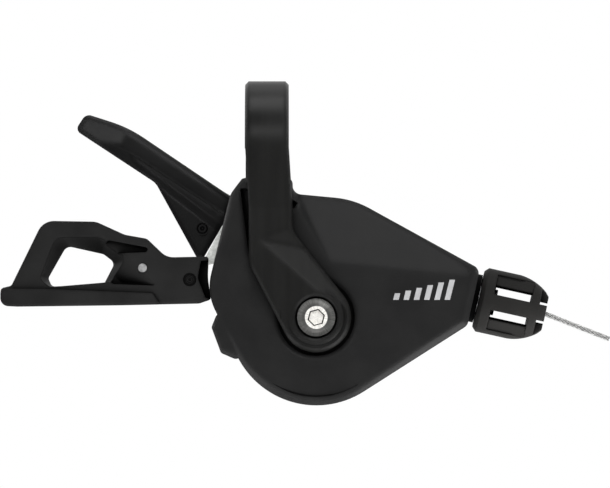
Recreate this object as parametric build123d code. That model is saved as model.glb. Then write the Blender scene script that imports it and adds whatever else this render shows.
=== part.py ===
"""Right-hand trigger gear shifter for a flat handlebar, in millimetres.

The row frame has its origin at the centre of the handlebar clamp: X runs along the bar towards the
cable outlet, Z is up and the moulded cover faces -Y. Every piece is drawn about the main axle, with
profiles in the X-Z plane and levels along Y, and moved to the row frame when it is written.
"""
from build123d import *
import math
import os

# Handlebar clamp
BAR_DIAMETER = 22.2
BAND_WIDTH = 10.0
BAND_THICKNESS = 3.1
ARM_LEAN = 6.0  # degrees, front leg of the band against the vertical
ARM_CREASE_DROP = 14.7  # from the bar's centre down to where the front leg turns flat
ARM_DRIFT = 0.9  # sideways set of the arm against the loop
ARM_BEND_RIGHT = 20.2  # from the bar's centre down to where the arm swings over to the eye
ARM_BEND_LEFT = 27.6
ARM_BEND_RADIUS = 5.0
BAND_EDGE = 0.8
ARM_FACET_TILT = 20.0  # degrees
EYE_LIP_RADIUS = 6.15
EYE_LIP_EDGE = 0.4
EYE_GROOVE_WIDTH = 0.9
EYE_GROOVE_DEPTH = 0.5
EYE_CONE = 1.0  # drop from the lip to the eye's edge
EYE_LEAN = 8.0  # degrees the ring round the lip leans away from the arm
EYE_HEADING = 217.0
LEG_DROP = 12.8  # from the bar's centre down to the end of the rear leg
LEG_SCREW_UP = 3.4  # from the end of the rear leg up to its screw
LEG_SCREW_GRIP = 2.8
AXLE_X = 11.3  # main axle from the bar's centre
AXLE_DROP = 40.0
EYE_RADIUS = 8.0
EYE_DEPTH = 4.6
BOLT_RADIUS = 2.5
BOLT_HEAD_RADIUS = 4.35
BOLT_HEAD_HEIGHT = 2.4
BOLT_BOSS_RADIUS = 2.55  # raised round the hexagon, on a coned flange
BOLT_BOSS_STEP = 0.4
BOLT_CONE_DROP = 0.7
BOLT_SINK = 0.6
HEX_ACROSS = 3.0
HEX_DEPTH = 1.6
HEX_LEAD = 0.3
BOLT_LENGTH = 13.0

# Housing
WALL = 1.8
COVER_FRONT = -9.3
COVER_PLATE = 3.0
COVER_BEVEL = 1.5
PARTING = 3.0
BASE_FLOOR = 17.4
BASE_BACK = 20.0
LEFT_TANGENT = 205.7  # degrees round the axle where the straight edges leave the round end
RIGHT_TANGENT = 302.5
FACET_TILT = 8.0
SHOULDER_TILTS = (6.0, 15.0)
FOOT_TILT = 4.0
BAR_CLEARANCE = 0.3
NECK_WIDTH = 11.2
NECK_OFFSET = 0.3  # the neck's middle from the band's middle
NECK_FOOT_DROP = 11.7  # from the bar's centre down to the foot of the neck
SLOT_FLOOR = 0.8  # cover left behind the slots beside the arm
EYE_POCKET_GAP = 0.8
LEVER_GATE_START = 116.0  # degrees round the axle, open side for the levers
LEVER_GATE_END = 192.0
LEVER_GATE_FRONT = -6.6
LEVER_GATE_BACK = 17.2
SCREW_RADIUS = 1.25
SCREW_BOSS_RADIUS = 2.7
SCREW_HEAD_RADIUS = 2.2
SCREW_SPOTS = ((23.0, -2.5), (3.5, AXLE_DROP - 18.5))

# Mechanism on the axle
AXLE_RADIUS = 4.0
RUNNING_GAP = 0.06
FACE_GAP = 0.1
PLATE_THICKNESS = 1.0
POST_RADIUS = 1.4
POST_GAP = 1.4
POST_LAND = 2.0  # from the posts' centres out to the housing wall
POST_ANGLES = (96.0, 238.0, 331.0)
DRUM_FRONT = 2.5
DRUM_BACK = 8.5
DRUM_RADIUS = 13.6
GROOVE_DEPTH = 1.5  # from the drum's rim down to the wire's centre
CABLE_RADIUS = 0.6
CABLE_FALL = 12.5  # degrees the cable falls from the drum to the outlet
CABLE_WRAP = 52.0
GROOVE_WIDTH = 2.2
RATCHET_THICKNESS = 1.8
TOOTH_PITCH = 15.0
TOOTH_COUNT = 12
TOOTH_DEPTH = 1.5
TOOTH_FACE = 3.0  # degrees taken by the steep face that the pawls meet
WINDING_STEP = 4.0  # the winding wheel is this much smaller than the drum
PAWL_LIFT = 0.35
PAWL_BOSS = 1.8
PIN_RADIUS = 1.0
SPACER_RADIUS = 6.0

# Levers
MAIN_PLATE_FRONT = 14.0
LEVER_PLATE = 1.6
LEVER_HUB_RADIUS = 8.0
MAIN_PAD_FRONT = 12.8
MAIN_PAD_BACK = 23.0
MAIN_WEB_FRONT = 13.6
MAIN_PAD_EDGE = 1.2
MAIN_TIP_TILT = 10.0  # degrees the tip of the thumb lever leans back
MAIN_WEB_BACK = 17.0
RELEASE_PLATE_FRONT = -2.0
RELEASE_PAD_FRONT = -5.8
RELEASE_PAD_BACK = 4.2
RELEASE_FRAME_BACK = 0.6
RELEASE_FLANGE_FRONT = -6.6
RELEASE_EDGE = 0.7
RELEASE_SCOOP_TILT = 26.0
RELEASE_SCOOP_DEPTH = 2.6
RELEASE_POCKET_DEPTH = 1.4
SLOT_GAP = 0.05

# Cable adjuster, with distances along the cable from the drum's tangent point
OUTLET_END = 34.2
OUTLET_HALF = 6.8
OUTLET_BOSS_RADIUS = 6.2
OUTLET_BOSS_START = 25.0
THREAD_RADIUS = 3.0
BARREL_BORE = 1.1
KNOB_START = 35.7
KNOB_LENGTH = 15.7
KNOB_RADIUS = 7.5
KNOB_NOSE_RADIUS = 4.9
KNOB_CAVITY = 3.9
KNOB_CAVITY_START = 3.4
KNOB_BORE = 3.0
KNOB_WINDOW_START = 3.1
KNOB_RING = 2.0  # solid ring between the windows and the prongs
KNOB_RAIL = 1.1
PRONG_DEPTH = 1.8
RIB_HALF = 1.85
CABLE_STUB = 16.0  # wire left beyond the knob
STUB_BEND = 9.0  # degrees the stub droops below the adjuster's axis

BAR_RADIUS = BAR_DIAMETER / 2
POST_CIRCLE = DRUM_RADIUS + POST_GAP + POST_RADIUS
REAR_PLATE_RADIUS = POST_CIRCLE + 0.5
BODY_RADIUS = POST_CIRCLE + POST_LAND + WALL
CABLE_CIRCLE = DRUM_RADIUS - GROOVE_DEPTH
WINDING_RADIUS = DRUM_RADIUS - WINDING_STEP
BAND_OUTER = BAR_RADIUS + BAND_THICKNESS
BAR_AT = (-AXLE_X, AXLE_DROP)
NECK_TOP = AXLE_DROP - BAR_RADIUS * 0.7
NECK_FOOT = AXLE_DROP - NECK_FOOT_DROP
NECK_LEFT = NECK_OFFSET - AXLE_X - NECK_WIDTH / 2
NECK_RIGHT = NECK_LEFT + NECK_WIDTH
CABLE_LEVEL = (DRUM_FRONT + DRUM_BACK) / 2
TANGENT_ANGLE = 90.0 - CABLE_FALL
COVER_INNER = COVER_FRONT + COVER_PLATE
FRONT_PLATE_BACK = COVER_INNER + 0.2 + PLATE_THICKNESS
ARM_FRONT = (
    -BAND_OUTER * math.cos(math.radians(ARM_LEAN))
    + (ARM_CREASE_DROP - BAND_OUTER * math.sin(math.radians(ARM_LEAN))) * math.tan(math.radians(ARM_LEAN))
)
ARM_BACK = ARM_FRONT + BAND_THICKNESS
PIECES = {}


def slab(profile, front, back):
    """A profile in the X-Z plane, solid from its front level to its back level."""
    return extrude(Plane.XZ.offset(-back) * profile, amount=back - front)


def polar(radius, angle):
    return (radius * math.cos(math.radians(angle)), radius * math.sin(math.radians(angle)))


def outline(*corners):
    """A closed profile from corners given as (x, z, rounding)."""
    points = [(x, z) for x, z, _ in corners]
    return make_face(FilletPolyline(*points, radius=[r for _, _, r in corners], close=True))


def disc(radius, front, back, at=(0, 0)):
    return slab(Pos(*at) * Circle(radius), front, back)


def ring(outer, inner, front, back, at=(0, 0)):
    return slab(Pos(*at) * (Circle(outer) - Circle(inner)), front, back)


def sector(start, end, radius):
    """A wedge profile about the axle between two angles."""
    reach = radius / math.cos(math.radians((end - start) / 4))
    middle = (start + end) / 2
    return make_face(
        Polyline(
            (0, 0), polar(reach, start), polar(reach, (start + middle) / 2), polar(reach, middle),
            polar(reach, (end + middle) / 2), polar(reach, end), close=True,
        )
    )


def capsule(start, start_radius, end, end_radius):
    """The hull of two circles."""
    circles = [Pos(*start) * Circle(start_radius), Pos(*end) * Circle(end_radius)]
    return make_hull(ShapeList(circles[0].edges() + circles[1].edges()))


def leaning_cut(start, end, tilt, level):
    """Everything in front of a plane that leans back on the left of the line from start to end."""
    heading = math.degrees(math.atan2(end[1] - start[1], end[0] - start[0]))
    block = Pos(0, -10, 40) * Box(160, 20, 80)
    return Pos(start[0], level, start[1]) * Rot(0, -heading, 0) * Rot(-tilt, 0, 0) * block


def tangent_from(point, radius, side):
    """Where the line from a point touches a circle about the axle; side is 1 or -1."""
    reach = math.hypot(*point)
    turn = math.degrees(math.acos(radius / reach))
    return polar(radius, math.degrees(math.atan2(point[1], point[0])) + side * turn)


def bar_bore(clearance=0.0):
    """The handlebar's cylinder."""
    bar = Plane.YZ.offset(BAR_AT[0] - 50) * Pos(0, BAR_AT[1]) * Circle(BAR_RADIUS + clearance)
    return extrude(bar, amount=100)


def bar_room():
    """The handlebar's cylinder where the band grips it, and a little more beside the band."""
    gripped = Pos(BAR_AT[0], 0, AXLE_DROP) * Box(BAND_WIDTH, 3 * BAR_DIAMETER, 3 * BAR_DIAMETER)
    return bar_bore(BAR_CLEARANCE) - gripped + bar_bore()


def on_cable(along, across=0.0):
    """A point in the X-Z plane, measured along and across the straight run of the cable."""
    x, z = polar(CABLE_CIRCLE + across, TANGENT_ANGLE)
    dx, dz = polar(along, -CABLE_FALL)
    return (x + dx, z + dz)


def cable_plane(along):
    """A plane square to the cable, looking out of the housing."""
    x, z = on_cable(along)
    dx, dz = polar(1.0, -CABLE_FALL)
    return Plane(origin=(x, CABLE_LEVEL, z), x_dir=(0, 1, 0), z_dir=(dx, 0, dz))


def cable_rod(radius, start, end):
    return extrude(cable_plane(start) * Circle(radius), amount=end - start)


def keep(name, shape):
    PIECES[name] = shape


def body_outline():
    """The teardrop seen from the front: round about the axle, tapering to the cable outlet."""
    middle = (LEFT_TANGENT + RIGHT_TANGENT) / 2
    half = math.radians((RIGHT_TANGENT - LEFT_TANGENT) / 2)
    bottom = polar(BODY_RADIUS / math.cos(half), middle)
    edge = polar(1.0, RIGHT_TANGENT)
    foot, up = on_cable(OUTLET_END), polar(1.0, TANGENT_ANGLE)
    fall = (BODY_RADIUS - foot[0] * edge[0] - foot[1] * edge[1]) / (up[0] * edge[0] + up[1] * edge[1])
    return outline(
        (*bottom, BODY_RADIUS),
        (*on_cable(OUTLET_END, fall), 2.0),
        (*on_cable(OUTLET_END, OUTLET_HALF), 2.0),
        (8.5, NECK_FOOT - 1.3, 20.0),
        (NECK_RIGHT, NECK_FOOT, 2.1),
        (NECK_RIGHT, NECK_TOP, 1.65),
        (NECK_LEFT, NECK_TOP, 1.65),
        (-19.6, NECK_FOOT, 5.0),
        (-25.1, 5.7, 12.0),
    )


def stop_lug():
    """The bevelled lug on the round end, beside the levers."""
    return outline(
        (-21.0, 2.6, 0.0), (-23.0, 0.2, 1.5), (-24.0, -2.3, 1.0), (-21.8, -8.2, 1.0), (-18.6, -9.6, 1.5),
        (-15.0, -9.0, 0.0),
    )


def top_cover():
    shape = body_outline()
    cover = slab(shape, COVER_FRONT, PARTING)
    cover = chamfer(cover.faces().sort_by(Axis.Y)[0].edges(), COVER_BEVEL)
    lug = slab(stop_lug(), COVER_FRONT + COVER_BEVEL, PARTING)
    cover += chamfer(lug.faces().sort_by(Axis.Y)[0].edges().filter_by(lambda e: e.center().X < -19), 0.8)
    # The upper facet leans back from a crease that runs to the outlet and turns up beside the arm.
    bend = (3.2, 12.6)
    upper = leaning_cut(bend, (36.6, 9.2), FACET_TILT, COVER_FRONT)
    cover -= upper & leaning_cut((-4.8, 26.0), bend, 50.0, COVER_FRONT)
    near_tilt, far_tilt = SHOULDER_TILTS
    cover -= leaning_cut((-14.6, -4.0), (-16.4, 22.0), near_tilt, COVER_FRONT)
    cover -= leaning_cut((-18.2, -2.0), (-19.8, 22.0), far_tilt, COVER_FRONT + 0.3)
    cover -= leaning_cut((30.0, -4.0), (-10.0, -15.0), FOOT_TILT, COVER_FRONT)
    arm_slot = make_face(Polyline((-17.4, 29.5), (-14.6, 29.5), (-15.2, 12.6), close=True))
    cover -= slab(arm_slot, COVER_FRONT - 1, COVER_INNER - SLOT_FLOOR)
    band_nook = make_face(Polyline((-5.4, 26.9), (-4.2, 26.2), (-4.9, 25.0), (-5.6, 25.0), close=True))
    cover -= slab(band_nook, COVER_FRONT - 1, COVER_INNER - SLOT_FLOOR)
    cover -= slab(offset(shape, -WALL), COVER_INNER, PARTING + 1)
    for spot in SCREW_SPOTS:
        cover += disc(SCREW_BOSS_RADIUS, COVER_INNER - 0.3, PARTING, spot)
        cover -= disc(SCREW_RADIUS, COVER_INNER + 1.2, PARTING + 1, spot)
    gate = sector(LEVER_GATE_START, LEVER_GATE_END, 60)
    cover -= slab(gate, LEVER_GATE_FRONT, PARTING + 1)
    cover -= disc(EYE_RADIUS + EYE_POCKET_GAP, COVER_FRONT - 1, ARM_FRONT + EYE_DEPTH + 0.3)
    cover -= disc(BOLT_RADIUS + 0.3, COVER_FRONT - 1, PARTING)
    cover -= cable_rod(OUTLET_BOSS_RADIUS + FACE_GAP, OUTLET_BOSS_START - 1, OUTLET_END + 5)
    return cover - neck_block(FACE_GAP) - bar_bore(BAR_CLEARANCE)


def neck_block(grow=0.0):
    """The post under the bar, with its saddle, that carries the clamp; its shoulders clear the bar."""
    low, high = AXLE_DROP - 22.0, AXLE_DROP - 1.5
    front, back = COVER_INNER + FACE_GAP, BAR_RADIUS
    middle, height = (low + high) / 2, high - low
    section = body_outline() & Pos((NECK_LEFT + NECK_RIGHT) / 2, middle) * Rectangle(NECK_WIDTH, height)
    section += Pos(BAR_AT[0], middle) * Rectangle(BAND_WIDTH, height)
    if grow:
        section = offset(section, grow)
    return slab(section, front - grow, back + grow) - bar_room()


def base_bracket():
    shape = body_outline()
    inner = offset(shape, -WALL)
    base = slab(shape, PARTING, BASE_BACK)
    base = fillet(base.faces().sort_by(Axis.Y)[-1].edges(), 1.6)
    base -= slab(inner, PARTING - 1, BASE_FLOOR)
    base += neck_block()
    base += cable_rod(OUTLET_BOSS_RADIUS, OUTLET_BOSS_START, OUTLET_END)
    for spot in SCREW_SPOTS:
        base += disc(SCREW_BOSS_RADIUS, PARTING, BASE_FLOOR, spot)
        base -= disc(SCREW_RADIUS + 0.2, PARTING - 1, BASE_BACK + 1, spot)
    gate = sector(LEVER_GATE_START, LEVER_GATE_END, 60)
    base -= slab(gate, LEVER_GATE_FRONT, LEVER_GATE_BACK)
    base -= slab(sector(LEVER_GATE_START, LEVER_GATE_END + 8, 60) - Circle(26.5), PARTING - 1, BASE_BACK + 1)
    base -= disc(REAR_PLATE_RADIUS + FACE_GAP, BASE_FLOOR - 0.01, BASE_FLOOR + PLATE_THICKNESS + 0.6)
    base -= disc(REAR_PLATE_RADIUS - 1.8, BASE_FLOOR, BASE_BACK + 1)
    base -= cable_rod(THREAD_RADIUS + RUNNING_GAP, OUTLET_BOSS_START - 5, OUTLET_END + 5)
    leg = Pos(BAR_AT[0], BAR_RADIUS + 10, AXLE_DROP) * Box(BAND_WIDTH + 0.2, 20, 2 * LEG_DROP + 0.2)
    base -= leg
    base -= leg_screw_hole()
    return base - bar_room()


def leg_screw_hole():
    """The tapped hole for the screw that holds the band's rear leg."""
    return disc(SCREW_RADIUS, BAR_RADIUS - LEG_SCREW_GRIP - 0.2, BAR_RADIUS + 1, leg_screw_at())


def leg_screw_at():
    return (BAR_AT[0], AXLE_DROP - LEG_DROP + LEG_SCREW_UP)


def rear_cover():
    """The moulded cap that closes the back of the mechanism."""
    cap = slab(rear_cap_outline(), BASE_BACK, BASE_BACK + 2.6)
    cap = fillet(cap.faces().sort_by(Axis.Y)[-1].edges(), 1.4)
    cap -= disc(REAR_PLATE_RADIUS - 2.6, BASE_BACK - 1, BASE_BACK + 1.2)
    for spot in SCREW_SPOTS:
        cap -= disc(SCREW_RADIUS + 0.2, BASE_BACK - 1, BASE_BACK + 4, spot)
        cap -= disc(SCREW_HEAD_RADIUS + 0.2, BASE_BACK + 1.2, BASE_BACK + 4, spot)
    return cap


def rear_cap_outline():
    radius = BODY_RADIUS - 1.6
    lobes = [Circle(radius)] + [Pos(*spot) * Circle(SCREW_BOSS_RADIUS + 0.6) for spot in SCREW_SPOTS]
    return make_hull(ShapeList([e for lobe in lobes for e in lobe.edges()]))


def cover_screws():
    head = BASE_BACK + 1.2
    screws = []
    for spot in SCREW_SPOTS:
        screw = disc(SCREW_RADIUS, COVER_INNER + 1.4, head, spot)
        screw += disc(SCREW_HEAD_RADIUS, head, head + 1.3, spot)
        screws.append(screw - slab(Pos(*spot) * RegularPolygon(1.0, 6), head + 0.4, head + 2))
    return Compound(children=screws)


def arm_profile():
    """The front leg below its crease: a strap that swings over to the round eye."""
    left = BAR_AT[0] - BAND_WIDTH / 2 + ARM_DRIFT
    right = left + BAND_WIDTH
    top = AXLE_DROP - ARM_CREASE_DROP
    bend_right, bend_left = (right, AXLE_DROP - ARM_BEND_RIGHT), (left, AXLE_DROP - ARM_BEND_LEFT)
    strap = outline(
        (left, top, 0), (right, top, 0), (*bend_right, ARM_BEND_RADIUS),
        (*tangent_from(bend_right, EYE_RADIUS, -1), 0), (*tangent_from(bend_left, EYE_RADIUS, 1), 0),
        (*bend_left, ARM_BEND_RADIUS),
    )
    return strap + Circle(EYE_RADIUS)


def clamp_arm():
    """The flat arm with its bevelled edge, hollowed where it swings over, and the eye's lip."""
    arm = slab(arm_profile(), ARM_FRONT, ARM_BACK)
    rim = arm.faces().sort_by(Axis.Y)[0].edges().sort_by(Axis.Z)[:-1]
    arm = chamfer(rim, BAND_EDGE)
    # Where it swings over, two planes meet in a shallow valley.
    facet = leaning_cut((-9.8, 15.0), (0.9, 5.6), ARM_FACET_TILT, ARM_FRONT)
    arm -= facet & leaning_cut((-4.0, 21.2), (-15.0, 17.2), ARM_FACET_TILT, ARM_FRONT)
    arm += disc(EYE_LIP_RADIUS, ARM_FRONT, ARM_BACK)
    return arm - eye_fall() + disc(EYE_RADIUS, ARM_BACK, ARM_FRONT + EYE_DEPTH)


def eye_fall():
    """The ring cut round the eye's lip, with a groove beside it, deepest on the side away from the arm."""
    lip, outer = EYE_LIP_RADIUS, EYE_RADIUS + 0.2
    crest = EYE_LIP_RADIUS * math.sin(math.radians(EYE_LEAN)) - EYE_LIP_EDGE
    half = make_face(
        Polyline(
            (lip - EYE_LIP_EDGE, -5), (outer, -5), (outer, EYE_CONE), (lip + EYE_GROOVE_WIDTH, 0),
            (lip + EYE_GROOVE_WIDTH / 3, EYE_GROOVE_DEPTH), (lip, 0), (lip, -crest),
            (lip - EYE_LIP_EDGE, -crest - EYE_LIP_EDGE), close=True,
        )
    )
    cutter = revolve(half, Axis.Y)
    return Pos(0, ARM_FRONT, 0) * Rot(0, -EYE_HEADING, 0) * Rot(-EYE_LEAN, 0, 0) * cutter


def clamp_loop():
    """The band round the bar, with a straight leg behind it and a leaning leg in front."""
    end = 180.0 + ARM_LEAN
    loop = Circle(BAND_OUTER) - Circle(BAR_RADIUS)
    loop -= make_face(Polyline((0, 0), (60, 0), (60, -60), (-60, -60), polar(60, end), close=True))
    leg_back = Pos(BAR_RADIUS + BAND_THICKNESS / 2, -LEG_DROP / 2) * Rectangle(BAND_THICKNESS, LEG_DROP)
    section = Plane.YZ.offset(BAR_AT[0] - BAND_WIDTH / 2) * Pos(0, BAR_AT[1]) * (loop + leg_back)
    band = extrude(section, amount=BAND_WIDTH)
    rims = [e for e in band.edges() if e.geom_type == GeomType.CIRCLE and e.radius > BAR_RADIUS + 1]
    return chamfer(rims, BAND_EDGE)


def front_leg():
    end = 180.0 + ARM_LEAN
    outer, inner = polar(BAND_OUTER, end), polar(BAR_RADIUS, end)
    side = make_face(
        Polyline(outer, inner, (ARM_BACK, -ARM_CREASE_DROP), (ARM_FRONT, -ARM_CREASE_DROP), close=True)
    )
    leg = extrude(Plane.YZ.offset(BAR_AT[0] - 20) * Pos(0, BAR_AT[1]) * side, amount=40)
    left, right = BAR_AT[0] - BAND_WIDTH / 2, BAR_AT[0] + BAND_WIDTH / 2
    top, low = BAR_AT[1], AXLE_DROP - ARM_CREASE_DROP
    face = make_face(
        Polyline((left, top), (right, top), (right + ARM_DRIFT, low), (left + ARM_DRIFT, low), close=True)
    )
    leg &= slab(face, -30, 30)
    upright = [e for e in leg.edges() if e.center().Y < ARM_BACK - 1.5 and abs(e.tangent_at(0.5).Z) > 0.9]
    return chamfer(upright, BAND_EDGE)


def clamp_band():
    band = clamp_loop() + front_leg() + clamp_arm()
    head_seat = ARM_FRONT + BOLT_SINK + BOLT_HEAD_HEIGHT
    band -= disc(BOLT_HEAD_RADIUS + 0.5, ARM_FRONT - 1, head_seat)
    band -= disc(BOLT_RADIUS + 0.2, ARM_FRONT, ARM_FRONT + EYE_DEPTH + 1)
    return band - disc(SCREW_RADIUS + 0.1, BAR_RADIUS - 1, BAND_OUTER + 1, leg_screw_at())


def clamp_bolt():
    head_front = ARM_FRONT + BOLT_SINK
    head_back = head_front + BOLT_HEAD_HEIGHT
    cone_front = head_front + BOLT_BOSS_STEP
    half = make_face(
        Polyline(
            (0, head_front), (BOLT_BOSS_RADIUS, head_front), (BOLT_BOSS_RADIUS, cone_front),
            (BOLT_HEAD_RADIUS, cone_front + BOLT_CONE_DROP), (BOLT_HEAD_RADIUS, head_back), (0, head_back),
            close=True,
        )
    )
    bolt = revolve(half, Axis.Y) + disc(BOLT_RADIUS - 0.02, head_back, head_back + BOLT_LENGTH)
    socket = Rot(0, 0, 15) * RegularPolygon(HEX_ACROSS / 2, 6, major_radius=False)
    mouth = Rot(0, 0, 15) * RegularPolygon(HEX_ACROSS / 2 + HEX_LEAD, 6, major_radius=False)
    bolt -= loft([Plane.XZ.offset(-head_front) * mouth, Plane.XZ.offset(-head_front - HEX_LEAD) * socket])
    return bolt - slab(socket, head_front, head_front + HEX_DEPTH)


def band_screw():
    at = leg_screw_at()
    screw = disc(SCREW_RADIUS, BAR_RADIUS - LEG_SCREW_GRIP, BAND_OUTER, at)
    screw += disc(SCREW_HEAD_RADIUS, BAND_OUTER, BAND_OUTER + 1.2, at)
    return screw - slab(Pos(*at) * RegularPolygon(1.0, 6), BAND_OUTER + 0.4, BAND_OUTER + 2)


def main_axle():
    axle = disc(AXLE_RADIUS, COVER_INNER + 0.2, BASE_FLOOR + PLATE_THICKNESS + 0.6)
    axle += disc(AXLE_RADIUS * 0.75, BASE_FLOOR + PLATE_THICKNESS + 0.6, BASE_BACK + 0.6)
    return axle - disc(BOLT_RADIUS, COVER_INNER, COVER_INNER + BOLT_LENGTH)


def axle_nut():
    front = BASE_FLOOR + PLATE_THICKNESS + 0.6
    return slab(RegularPolygon(5.6, 6) - Circle(AXLE_RADIUS * 0.75), front, BASE_BACK + 0.4)


def front_plate():
    lobes = [Circle(AXLE_RADIUS + 3)] + [Pos(*polar(POST_CIRCLE, a)) * Circle(1.8) for a in POST_ANGLES]
    shape = make_hull(ShapeList([e for lobe in lobes for e in lobe.edges()])) - Circle(AXLE_RADIUS)
    return slab(shape, FRONT_PLATE_BACK - PLATE_THICKNESS, FRONT_PLATE_BACK)


def rear_plate():
    return ring(REAR_PLATE_RADIUS, AXLE_RADIUS, BASE_FLOOR, BASE_FLOOR + PLATE_THICKNESS + 0.6)


def plate_posts():
    return Compound(
        children=[disc(POST_RADIUS, FRONT_PLATE_BACK, BASE_FLOOR, polar(POST_CIRCLE, a)) for a in POST_ANGLES]
    )


def ratchet_profile(radius, first_tip, bore):
    """A wheel with saw teeth that hold against clockwise pull, and a plain rim elsewhere."""
    root = radius - TOOTH_DEPTH
    wheel = Circle(root)
    for k in range(TOOTH_COUNT):
        tip = first_tip - k * TOOTH_PITCH
        low, high = tip - TOOTH_FACE, tip + TOOTH_PITCH - TOOTH_FACE
        wheel += make_face(
            Polyline(
                polar(root * 0.9, low), polar(root, low), polar(radius, tip), polar(root, high),
                polar(root * 0.9, high), close=True,
            )
        )
    return wheel - Circle(bore)


PAWL_NOSE = 0.5
PAWL_NECK = 0.8
HOLD_PIVOT = polar(POST_CIRCLE - 0.5, 290.0)
HOLD_ELBOW = polar(DRUM_RADIUS + 2.0, 275.0)
HOLD_NOSE = polar(DRUM_RADIUS + PAWL_LIFT + PAWL_NOSE, 268.0)
HOLD_TIP_ANGLE = 274.2  # tooth tip beside the holding pawl at rest
WIND_PIVOT = polar(WINDING_RADIUS + 3.0, 70.0)
WIND_ELBOW = polar(WINDING_RADIUS + 2.3, 87.0)
WIND_NOSE = polar(WINDING_RADIUS + PAWL_LIFT + PAWL_NOSE, 98.0)
WIND_TIP_ANGLE = 103.4


def index_ratchet():
    front = DRUM_FRONT - RATCHET_THICKNESS
    return slab(ratchet_profile(DRUM_RADIUS, HOLD_TIP_ANGLE, AXLE_RADIUS + RUNNING_GAP), front, DRUM_FRONT)


def winding_ratchet():
    return slab(
        ratchet_profile(WINDING_RADIUS, WIND_TIP_ANGLE, AXLE_RADIUS + RUNNING_GAP),
        DRUM_BACK, DRUM_BACK + RATCHET_THICKNESS,
    )


def cable_drum():
    drum = ring(DRUM_RADIUS, AXLE_RADIUS + RUNNING_GAP, DRUM_FRONT, DRUM_BACK)
    floor = CABLE_CIRCLE - CABLE_RADIUS - 0.5
    drum -= ring(DRUM_RADIUS + 1, floor, CABLE_LEVEL - GROOVE_WIDTH / 2, CABLE_LEVEL + GROOVE_WIDTH / 2)
    drum -= ring(9.2, 5.6, DRUM_FRONT - 1, DRUM_BACK - 1.4)
    return drum - nipple_pocket(0.1)


def nipple_at():
    return polar(CABLE_CIRCLE, TANGENT_ANGLE + CABLE_WRAP + 12.0)


def nipple_pocket(grow=0.0):
    return disc(2.0 + grow, DRUM_FRONT - 1, CABLE_LEVEL + 2.0, nipple_at())


def cable_nipple():
    return disc(2.0, DRUM_FRONT + 0.3, CABLE_LEVEL + 2.0, nipple_at())


def drum_spring():
    return coil(7.4, 0.9, 3.0, DRUM_FRONT + 0.2, 1.05)


def main_lever_spring():
    return coil(6.0, 0.5, 1.6, MAIN_PLATE_FRONT + LEVER_PLATE + 0.2, 0.62)


def coil(radius, wire, turns, front, pitch):
    """A torsion spring of square wire wound about the axle."""
    path = Helix(pitch, pitch * turns, radius)
    section = Plane(origin=path @ 0, z_dir=path % 0, x_dir=(1, 0, 0)) * Rectangle(wire, wire)
    return Pos(0, front + wire / 2, 0) * Rot(-90, 0, 0) * sweep(section, path=path)


def release_lever_spring():
    return coil(6.4, 0.8, 2.4, FRONT_PLATE_BACK + 0.1, 0.85)


def pawl(pivot, elbow, nose, front, back):
    shape = capsule(pivot, PAWL_BOSS, elbow, PAWL_NECK) + capsule(elbow, PAWL_NECK, nose, PAWL_NOSE)
    return slab(shape - Pos(*pivot) * Circle(PIN_RADIUS + RUNNING_GAP), front, back)


def holding_pawl():
    front = DRUM_FRONT - RATCHET_THICKNESS
    return pawl(HOLD_PIVOT, HOLD_ELBOW, HOLD_NOSE, front, DRUM_FRONT - FACE_GAP)


def winding_pawl():
    return pawl(WIND_PIVOT, WIND_ELBOW, WIND_NOSE, DRUM_BACK + FACE_GAP, DRUM_BACK + RATCHET_THICKNESS)


def pawl_spring(pivot, lean, front):
    """A small hairpin spring on a pawl's pin."""
    shape = Circle(1.75) - Circle(1.25)
    leg = Pos(1.5, 1.6) * Rectangle(0.5, 3.2)
    return slab(Pos(*pivot) * Rot(0, 0, lean) * (shape + leg), front, front + 0.5)


def holding_pawl_spring():
    return pawl_spring(HOLD_PIVOT, 95.0, DRUM_FRONT - RATCHET_THICKNESS - 0.6)


def winding_pawl_spring():
    return pawl_spring(WIND_PIVOT, 80.0, DRUM_BACK + RATCHET_THICKNESS + FACE_GAP)


def holding_pin():
    return disc(PIN_RADIUS, FRONT_PLATE_BACK, BASE_FLOOR, HOLD_PIVOT)


def winding_pin():
    pin = disc(PIN_RADIUS, DRUM_BACK + 2 * FACE_GAP, MAIN_PLATE_FRONT + LEVER_PLATE, WIND_PIVOT)
    return pin + disc(PIN_RADIUS + 0.6, DRUM_BACK + RATCHET_THICKNESS + 0.8, MAIN_PLATE_FRONT, WIND_PIVOT)


def lever_spacer():
    front = DRUM_BACK + RATCHET_THICKNESS + FACE_GAP
    return ring(SPACER_RADIUS, AXLE_RADIUS + RUNNING_GAP, front, MAIN_PLATE_FRONT - FACE_GAP)


def release_spacer():
    """Keeps the release lever's plate clear of the index wheel."""
    front = RELEASE_PLATE_FRONT + LEVER_PLATE + FACE_GAP
    return ring(SPACER_RADIUS, AXLE_RADIUS, front, DRUM_FRONT - RATCHET_THICKNESS - FACE_GAP)


MAIN_ARM_ANGLE = 130.5
MAIN_ARM_HALF = 4.0


def main_plate_profile():
    hub = Circle(LEVER_HUB_RADIUS) + capsule((0, 0), LEVER_HUB_RADIUS, WIND_PIVOT, 2.0)
    knee = polar(31.0, MAIN_ARM_ANGLE)
    tip = (-40.5, 37.0)
    arm = capsule((0, 0), MAIN_ARM_HALF, knee, MAIN_ARM_HALF) + capsule(knee, MAIN_ARM_HALF, tip, 2.4)
    return hub + arm


def main_lever_plate():
    shape = main_plate_profile() - Circle(AXLE_RADIUS + RUNNING_GAP) - Pos(*WIND_PIVOT) * Circle(PIN_RADIUS)
    return slab(shape, MAIN_PLATE_FRONT, MAIN_PLATE_FRONT + LEVER_PLATE)


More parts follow.
